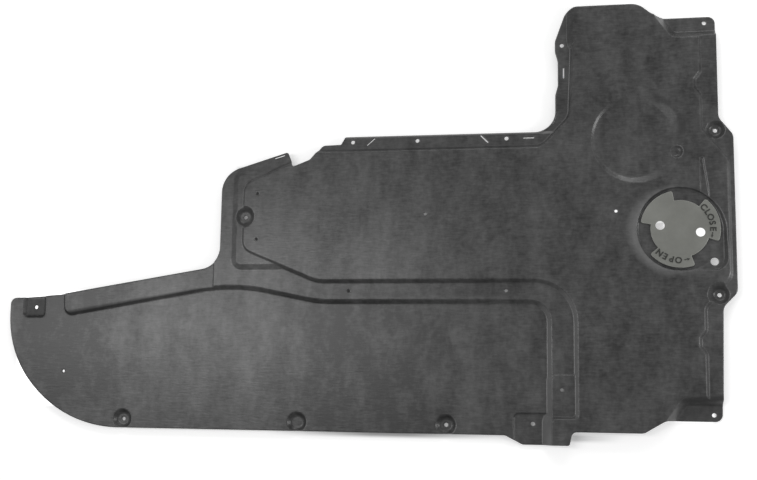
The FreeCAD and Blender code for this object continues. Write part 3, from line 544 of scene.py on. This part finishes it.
@dataclass(frozen=True)
class FloorFinish:
    """Matt white paper that the camera sees as plain white, apart from the part's own shadow.

    It glows by its own share, or by a patch's where one lies, and its paper darkens with the glow.
    The dim patches are painted shadow: under the panel, whose small holes show grey in the
    photograph, and below its lower edge, where the photograph has its shadow.
    """

    name: str = "white_paper"
    paper: str = "f4f4f4"
    shaded: str = "000000"
    glow: float = 0.36
    paper_shares: Pair = (0.3, 1.0)
    # Patches of glow: bright ones show white through holes, dim ones are painted shadow.
    patches: tuple[Region, ...] = (
        Region((-585.0, -235.0), (190.0, 230.0), (6.0, 6.0), 1.0),
        Region((-35.0, -266.0), (910.0, 232.0), (6.0, 6.0), 0.16),
        Region((80.0, -25.0), (640.0, 290.0), (6.0, 6.0), 0.2),
        Region((-83.0, -25.0), (246.0, 290.0), (6.0, 6.0), 0.03),
        Region((540.0, 0.0), (220.0, 720.0), (6.0, 6.0), 1.0),
        Region((561.0, -10.0), (24.0, 24.0), (6.0, 6.0), 0.5),
        Region((70.0, -388.5), (470.0, 18.0), (200.0, 6.0), 0.08),
        Region((410.0, -390.0), (160.0, 18.0), (110.0, 6.0), 0.12),
    )

    def build(self) -> bpy.types.Material:
        """Builds the material.

        Returns:
            The floor's material.
        """
        material, tree = new_material(self.name)
        rays = add_node(tree, "ShaderNodeLightPath").outputs
        seen: Any = rays["Is Camera Ray"]
        for kind in ("Is Glossy Ray", "Is Transmission Ray"):
            seen = add_node(tree, "ShaderNodeMath", (seen, rays[kind]), operation="MAXIMUM")
        place = add_node(tree, "ShaderNodeTexCoord").outputs["Object"]
        share: Any = self.glow
        for patch in self.patches:
            spread = (patch.mask(tree, place), *UNIT, share, patch.share)
            share = add_node(tree, "ShaderNodeMapRange", spread)
        strength = add_node(tree, "ShaderNodeMath", (seen, share), operation="MULTIPLY")
        # Painted shadow: the paper darkens where a patch dims the glow.
        unshadowed = add_node(tree, "ShaderNodeMapRange", (share, 0.0, self.glow, *self.paper_shares))
        colour = painted(tree, self.shaded, ((unshadowed, self.paper),))
        paper = add_node(tree, "ShaderNodeBsdfDiffuse", {"Color": colour})
        glow = add_node(tree, "ShaderNodeEmission", {"Strength": strength})
        both = add_node(tree, "ShaderNodeAddShader", (paper, glow))
        add_node(tree, "ShaderNodeOutputMaterial", {"Surface": both})
        return material


class TurnWord(Enum):
    """Raised word on a tab: its letters, the bearing of its middle and the step between letters."""

    CLOSE = ("CLOSE", 21.0, 10.9)
    OPEN = ("OPEN", 247.5, 12.1)

    @property
    def letters(self) -> str:
        """Letters of the word."""
        return self.value[0]

    @property
    def bearing(self) -> float:
        """Bearing of the word's middle, in degrees."""
        return self.value[1]

    @property
    def step(self) -> float:
        """Angle from one letter to the next, in degrees."""
        return self.value[2]


@dataclass
class Board:
    """The moulded panel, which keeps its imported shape."""

    node: str = "panel"
    finish: FibreBoardFinish = field(default_factory=FibreBoardFinish)

    def build(self) -> None:
        """Dresses the panel in felt."""
        dress(frame["nodes"][self.node], self.finish.build())
        log.info("%s dressed in %s", self.node, self.finish.name)


@dataclass
class AccessCover:
    """The turning cover, with a raised word and an arrow on two of its tabs."""

    node: str = "access_cover"
    body: str = "cover"
    slot: str = "cover_plastic"
    letter_height_mm: float = 11.0
    # Blender's font is this much taller than its capital letters.
    font_per_letter: float = 1.38
    letter_weight_mm: float = 0.42
    letter_relief_mm: float = 0.7
    word_radius_mm: float = 56.0
    # Bearing of each arrow, and one if it points anticlockwise or minus one if clockwise.
    arrow_bearings: tuple[tuple[float, int], ...] = ((-12.0, -1), (281.0, 1))
    arrow_length_mm: float = 10.0
    arrow_width_mm: float = 1.6
    arrow_head_mm: float = 4.5
    finish: CoverPlasticFinish = field(default_factory=CoverPlasticFinish)
    # The raised signs are darker, as painted shade round their strokes, and a little glossier than the
    # grain round them.
    sign_finish: CoverPlasticFinish = field(
        default_factory=lambda: CoverPlasticFinish(
            name="sign_polypropylene_painted_shade", dark="2e2f2c", pale="3a3b38", rim="4a4b46", roughness=0.3
        )
    )

    def build(self) -> None:
        """Dresses the cover and adds its lettering."""
        dress(frame["nodes"][self.node], self.finish.build())
        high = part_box(self.node)[1]
        joint = frame["joints"][0]
        centre = Vector((joint["pos_m"][0], joint["pos_m"][1], high.z))
        pieces = [self._letter(sign, bearing, centre) for sign, bearing in self._signs()]
        pieces += [self._arrow(bearing, way, centre) for bearing, way in self.arrow_bearings]
        lettering = self._joined(pieces)
        dress(lettering, self.sign_finish.build())
        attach(lettering, self.body)
        log.info("%s dressed in %s, with %d raised signs", self.node, self.finish.name, len(pieces))

    def _signs(self) -> list[tuple[str, float]]:
        """Letters and their bearings, each word running clockwise.

        Returns:
            One letter and its bearing in degrees for each place.
        """
        signs = []
        for word in TurnWord:
            first = word.bearing + word.step * (len(word.letters) - 1) / 2
            for place, letter in enumerate(word.letters):
                signs.append((letter, first - place * word.step))
        return signs

    def _stand(self, bearing: float, centre: Vector) -> Matrix:
        """Where a sign stands on the cover, with its top away from the centre.

        Args:
            bearing: its bearing from the centre, in degrees.
            centre: the cover's centre on its upper face.

        Returns:
            The matrix that takes an upright sign at the origin there.
        """
        turn = Matrix.Rotation(math.radians(bearing - UPRIGHT), 4, "Z")
        out = Matrix.Translation((0.0, self.word_radius_mm * MM, 0.0))
        return Matrix.Translation(centre) @ turn @ out

    def _letter(self, sign: str, bearing: float, centre: Vector) -> bpy.types.Object:
        """Makes one raised letter.

        Args:
            sign: the letter.
            bearing: its bearing from the centre, in degrees.
            centre: the cover's centre on its upper face.

        Returns:
            The letter as a mesh object at the origin.
        """
        curve = bpy.data.curves.new("letter", "FONT")
        curve.body = sign
        curve.align_x = "CENTER"
        curve.align_y = "CENTER"
        curve.size = self.letter_height_mm * MM * self.font_per_letter
        curve.extrude = self.letter_relief_mm * MM
        curve.offset = self.letter_weight_mm * MM
        text = bpy.data.objects.new("letter", curve)
        bpy.context.scene.collection.objects.link(text)
        bpy.context.view_layer.update()
        mesh = bpy.data.meshes.new_from_object(text.evaluated_get(bpy.context.evaluated_depsgraph_get()))
        bpy.data.objects.remove(text)
        mesh.transform(self._stand(bearing, centre))
        piece = bpy.data.objects.new("letter", mesh)
        bpy.context.scene.collection.objects.link(piece)
        return piece

    def _arrow(self, bearing: float, way: int, centre: Vector) -> bpy.types.Object:
        """Makes a raised arrow along the rim.

        Args:
            bearing: bearing of its middle, in degrees.
            way: one for an arrow that points anticlockwise, minus one for clockwise.
            centre: the cover's centre on its upper face.

        Returns:
            The arrow as a mesh object at the origin.
        """
        relief = self.letter_relief_mm * MM
        reach = self.arrow_length_mm * MM / 2
        half = self.arrow_width_mm * MM / 2
        head = self.arrow_head_mm * MM
        neck = reach - head
        upper = [(-reach, half), (neck, half), (neck, head / 2)]
        corners = [(x, -y) for x, y in upper] + [(reach, 0.0)] + upper[::-1]
        count = len(corners)
        points = [(x, y, height) for height in (-relief, relief) for x, y in corners]
        sides = [(at, (at + 1) % count, (at + 1) % count + count, at + count) for at in range(count)]
        mesh = bpy.data.meshes.new("arrow")
        mesh.from_pydata(points, [], [range(count), range(count, 2 * count), *sides])
        flip = Matrix.Rotation(math.pi if way > 0 else 0.0, 4, "Z")
        mesh.transform(self._stand(bearing, centre) @ flip)
        piece = bpy.data.objects.new("arrow", mesh)
        bpy.context.scene.collection.objects.link(piece)
        return piece

    @staticmethod
    def _joined(pieces: list[bpy.types.Object]) -> bpy.types.Object:
        """Joins the raised signs into one piece.

        Args:
            pieces: mesh objects at the origin.

        Returns:
            One object that holds them all.
        """
        shape = bmesh.new()
        for piece in pieces:
            shape.from_mesh(piece.data)
            bpy.data.objects.remove(piece)
        bmesh.ops.remove_doubles(shape, verts=shape.verts[:], dist=WELD_M)
        bmesh.ops.recalc_face_normals(shape, faces=shape.faces[:])
        mesh = bpy.data.meshes.new("cover_lettering")
        shape.to_mesh(mesh)
        shape.free()
        lettering = bpy.data.objects.new("cover_lettering", mesh)
        bpy.context.scene.collection.objects.link(lettering)
        return lettering


@dataclass(frozen=True)
class Lamp:
    """One soft rectangular lamp: where it stands and its size in metres, and its power."""

    name: str
    place: Triple
    size: Pair
    watts: float

    def build(self) -> None:
        """Adds the lamp, facing the part."""
        light = bpy.data.lights.new(self.name, "AREA")
        light.shape = "RECTANGLE"
        light.size, light.size_y = self.size
        light.energy = self.watts
        lamp = bpy.data.objects.new(self.name, light)
        lamp.location = self.place
        lamp.rotation_euler = Vector(self.place).to_track_quat("Z", "Y").to_euler()
        bpy.context.scene.collection.objects.link(lamp)


@dataclass
class Studio:
    """White floor, soft lamps and the camera, which stands where the photograph's stood."""

    floor_side_m: float = 12.0
    floor_gap_mm: float = 0.2
    lens_mm: float = 53.31
    camera_place: Triple = (0.4236, -0.3246, 2.062)
    camera_right: Triple = (0.9838, 0.0149, -0.1785)
    camera_back: Triple = (0.1788, -0.1398, 0.9739)
    world_colour: str = "ffffff"
    world_strength: float = 0.38
    lamps: tuple[Lamp, ...] = (
        Lamp("sheen_strip", (-0.94, -0.04, 2.0), (0.3, 1.6), 12.0),
        Lamp("rear_softbox", (0.3, 2.3, 1.7), (2.2, 0.7), 21.0),
        Lamp("right_softbox", (2.5, -0.2, 0.9), (0.7, 1.6), 24.0),
    )
    finish: FloorFinish = field(default_factory=FloorFinish)

    def build(self) -> None:
        """Sets the floor, the lamps, the world and the camera."""
        self._floor()
        for lamp in self.lamps:
            lamp.build()
        self._world()
        self._camera()
        log.info("studio set")

    def _floor(self) -> None:
        """Lays the floor just under the part."""
        shape = bmesh.new()
        bmesh.ops.create_grid(shape, x_segments=1, y_segments=1, size=self.floor_side_m / 2)
        bmesh.ops.translate(shape, vec=(0.0, 0.0, -self.floor_gap_mm * MM), verts=shape.verts[:])
        mesh = bpy.data.meshes.new("floor")
        shape.to_mesh(mesh)
        shape.free()
        floor = bpy.data.objects.new("floor", mesh)
        bpy.context.scene.collection.objects.link(floor)
        dress(floor, self.finish.build())

    def _world(self) -> None:
        """Gives the room an even, dim light."""
        world = bpy.data.worlds.new("room")
        world.use_nodes = True
        tree = world.node_tree
        tree.nodes.clear()
        air = {"Color": linear(self.world_colour), "Strength": self.world_strength}
        light = add_node(tree, "ShaderNodeBackground", air)
        add_node(tree, "ShaderNodeOutputWorld", {"Surface": light})
        bpy.context.scene.world = world

    def _camera(self) -> None:
        """Stands the camera above the part, at the photograph's angle."""
        data = bpy.data.cameras.new("camera")
        data.lens = self.lens_mm
        camera = bpy.data.objects.new("camera", data)
        back = Vector(self.camera_back).normalized()
        right = Vector(self.camera_right)
        right = (right - right.dot(back) * back).normalized()
        up = back.cross(right)
        turn = Matrix((right, up, back)).transposed().to_4x4()
        camera.matrix_world = Matrix.Translation(self.camera_place) @ turn
        bpy.context.scene.collection.objects.link(camera)
        bpy.context.scene.camera = camera


def main() -> None:
    """Builds the looks of each piece, then the studio."""
    logging.basicConfig(level=logging.INFO)
    bpy.context.scene.view_settings.view_transform = "Standard"
    Board().build()
    AccessCover().build()
    Studio().build()


if __name__ == "__main__":
    main()
